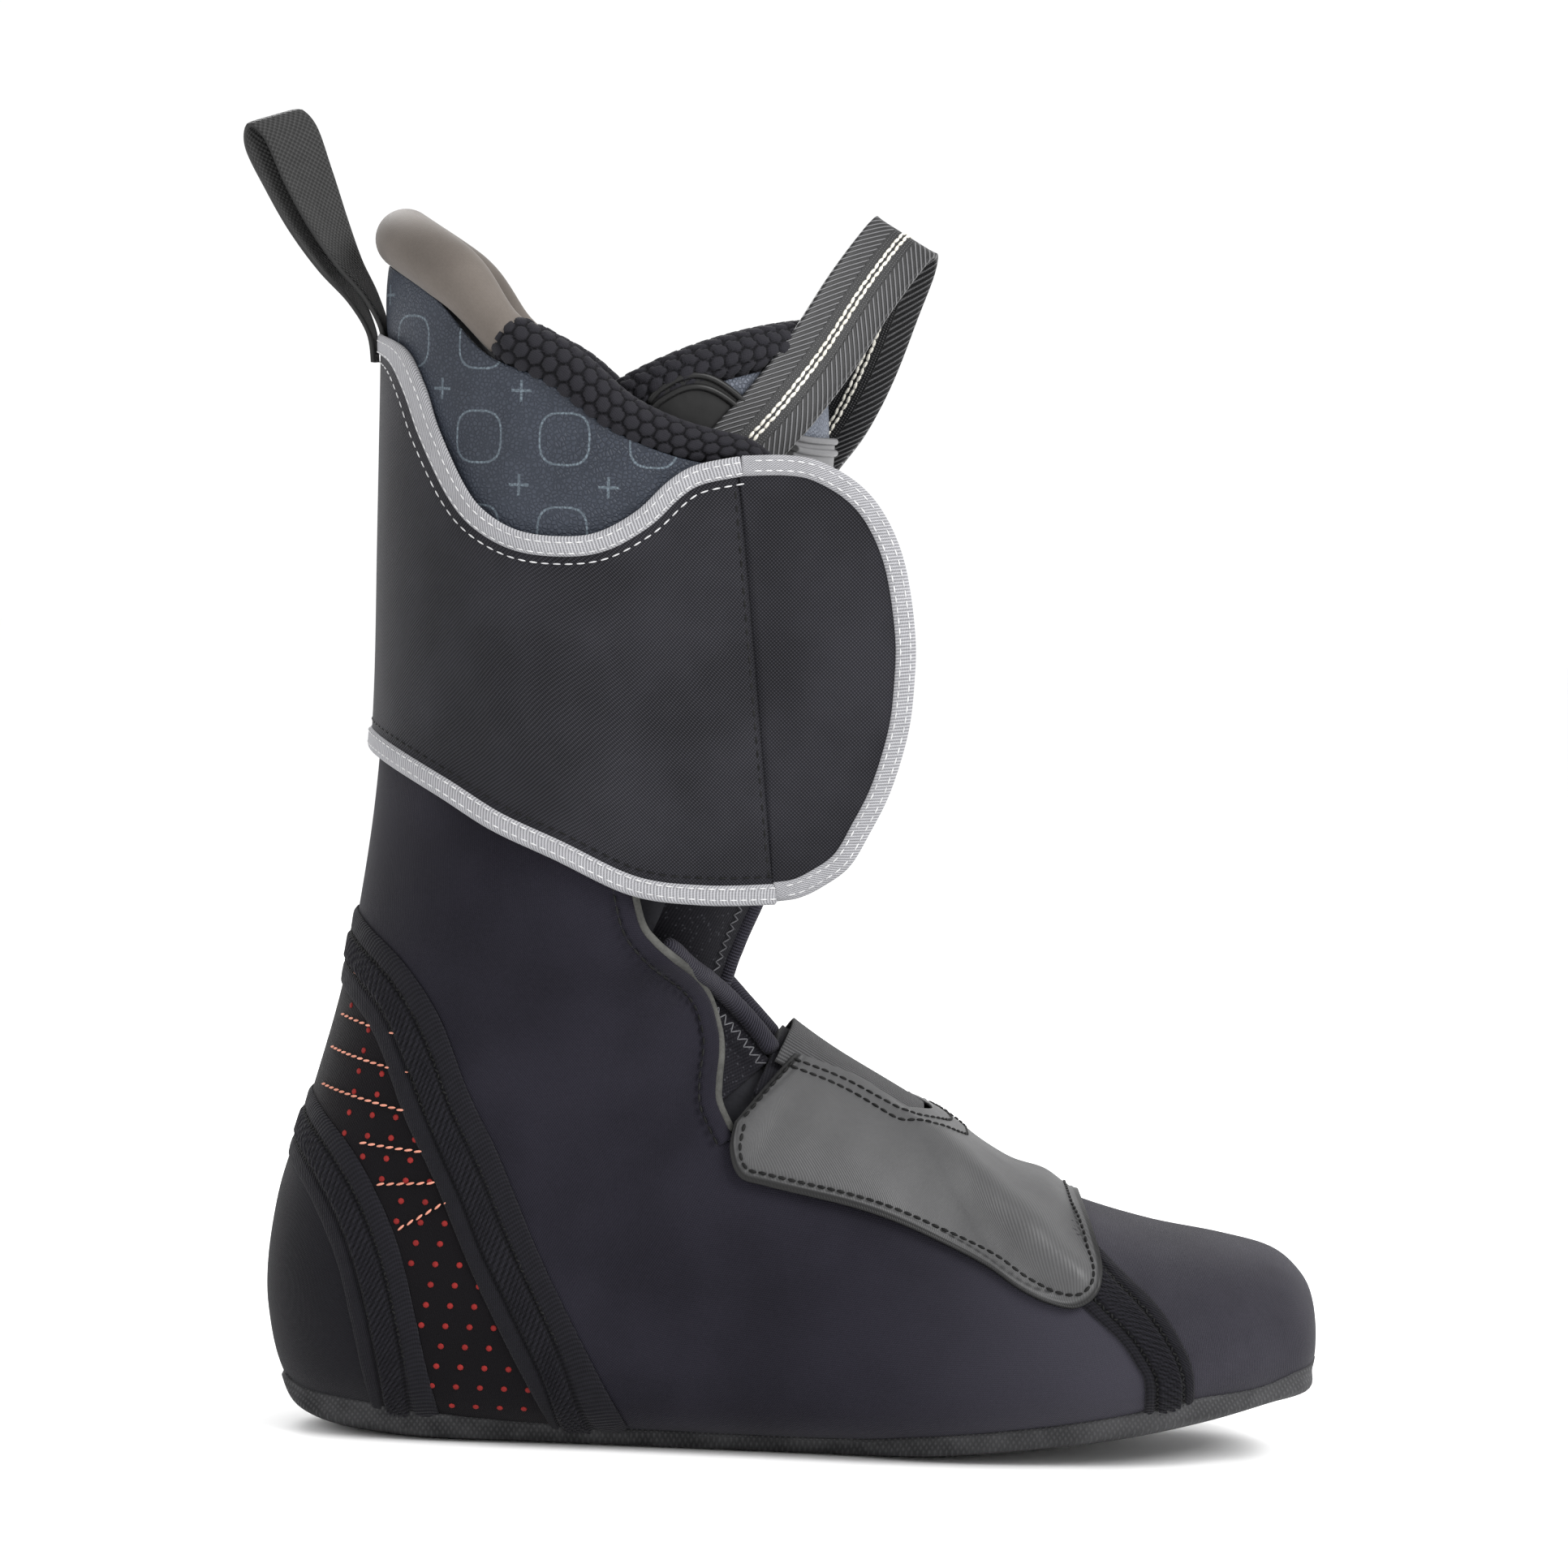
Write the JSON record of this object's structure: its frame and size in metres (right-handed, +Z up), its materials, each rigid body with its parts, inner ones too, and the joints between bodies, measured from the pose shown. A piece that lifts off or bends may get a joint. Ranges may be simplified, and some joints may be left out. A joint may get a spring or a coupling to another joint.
{
  "type": "ski boot liner",
  "caption": "Removable padded liner of an alpine ski boot, with a stretch throat, a hinged tongue, wrap-over shaft flaps, a soft collar and webbing pull loops.",
  "frame": {"origin": "middle of the flat part of the sole, on the resting plane", "axes": "+X to the toe, +Y to the wearer's left (the inner side of this right boot), +Z up the shaft"},
  "size_m": [0.2977, 0.1168, 0.3486],
  "materials": {
    "sole_rubber": "matt, lightly textured",
    "foam": "matt closed-cell foam",
    "brushed_lining": "brushed",
    "toe_cloth": "twill, matt",
    "seam_tape": "knitted tape, matt",
    "heel_cloth": "matt",
    "neoprene": "knit-faced neoprene",
    "stretch": "stretch cloth",
    "elastic": "ribbed elastic",
    "coated_cloth": "coated twill",
    "ballistic": "woven, slight sheen",
    "grey_binding": "grosgrain",
    "blue_grain": "grained synthetic leather",
    "taupe_stretch": "smooth stretch cloth",
    "knit": "open knit",
    "webbing": "woven webbing",
    "shield": "smooth film"
  },
  "bodies": {
    "boot": {"sole": "sole_rubber", "lasting_board": "foam", "footbed": "brushed_lining", "toe_box": "toe_cloth", "toe_seam_tape": "seam_tape", "heel_seam_tape": "seam_tape", "ankle_seam_tape": "seam_tape", "heel_counter": "heel_cloth", "perforated_heel_panel": "heel_cloth", "outer_quarter": "neoprene", "inner_quarter": "neoprene", "ankle_wrap": "neoprene", "outer_throat_piping": "neoprene", "inner_throat_piping": "neoprene", "outer_wing": "stretch", "inner_wing": "stretch", "outer_wing_edge": "stretch", "inner_wing_edge": "stretch", "instep_elastic": "elastic", "instep_overlay": "coated_cloth", "tongue_root": "foam", "outer_ankle_pad": "foam", "inner_ankle_pad": "foam", "heel_pad": "foam", "foot_lining": "brushed_lining"},
    "cuff": {"shaft_foam": "foam", "shaft_lining": "brushed_lining", "collar_facing": "blue_grain", "cuff_sheet": "ballistic", "cuff_top_binding": "grey_binding", "cuff_bottom_binding": "grey_binding", "outer_collar_roll": "knit", "inner_collar_roll": "knit", "rear_collar_pad": "taupe_stretch"},
    "outer_flap": {"outer_flap": "ballistic", "outer_flap_binding": "grey_binding"},
    "inner_flap": {"inner_flap": "ballistic", "inner_flap_binding": "grey_binding"},
    "tongue": {"tongue_foam": "foam", "tongue_facing": "blue_grain", "tongue_neck": "stretch", "tongue_lining": "brushed_lining", "tongue_shield": "shield", "tongue_roll": "knit"},
    "tongue_loop": {"tongue_pull_loop": "webbing"},
    "rear_loop": {"rear_pull_loop": "webbing"}
  },
  "joints": [
    {"name": "ankle_flex", "type": "hinge", "parent": "boot", "child": "cuff", "pos_m": [-0.07, 0, 0.092], "axis": [0, 1, 0], "range_deg": [-4, 12], "stiffness_Nm_per_rad": 12, "deforming": ["ankle_wrap", "ankle_seam_tape", "outer_throat_piping", "inner_throat_piping", "outer_wing", "inner_wing", "outer_wing_edge", "inner_wing_edge"]},
    {"name": "tongue_tilt", "type": "hinge", "parent": "cuff", "child": "tongue", "pos_m": [-0.03, 0, 0.117], "axis": [0, 1, 0], "range_deg": [0, 25], "stiffness_Nm_per_rad": 2},
    {"name": "outer_flap_open", "type": "hinge", "parent": "cuff", "child": "outer_flap", "pos_m": [-0.0187, -0.05378, 0.20225], "axis": [0.1088, 0.132, -0.9853], "range_deg": [0, 40], "stiffness_Nm_per_rad": 0.3},
    {"name": "inner_flap_open", "type": "hinge", "parent": "cuff", "child": "inner_flap", "pos_m": [-0.01828, 0.05336, 0.1985], "axis": [-0.1088, 0.1313, 0.9853], "range_deg": [0, 40], "stiffness_Nm_per_rad": 0.3},
    {"name": "rear_loop_swing", "type": "hinge", "parent": "cuff", "child": "rear_loop", "pos_m": [-0.121, 0, 0.291], "axis": [0, 1, 0], "range_deg": [-35, 0], "stiffness_Nm_per_rad": 0.06},
    {"name": "tongue_loop_swing", "type": "hinge", "parent": "tongue", "child": "tongue_loop", "pos_m": [-0.008, 0, 0.258], "axis": [0, 1, 0], "range_deg": [0, 25], "stiffness_Nm_per_rad": 0.06}
  ]
}
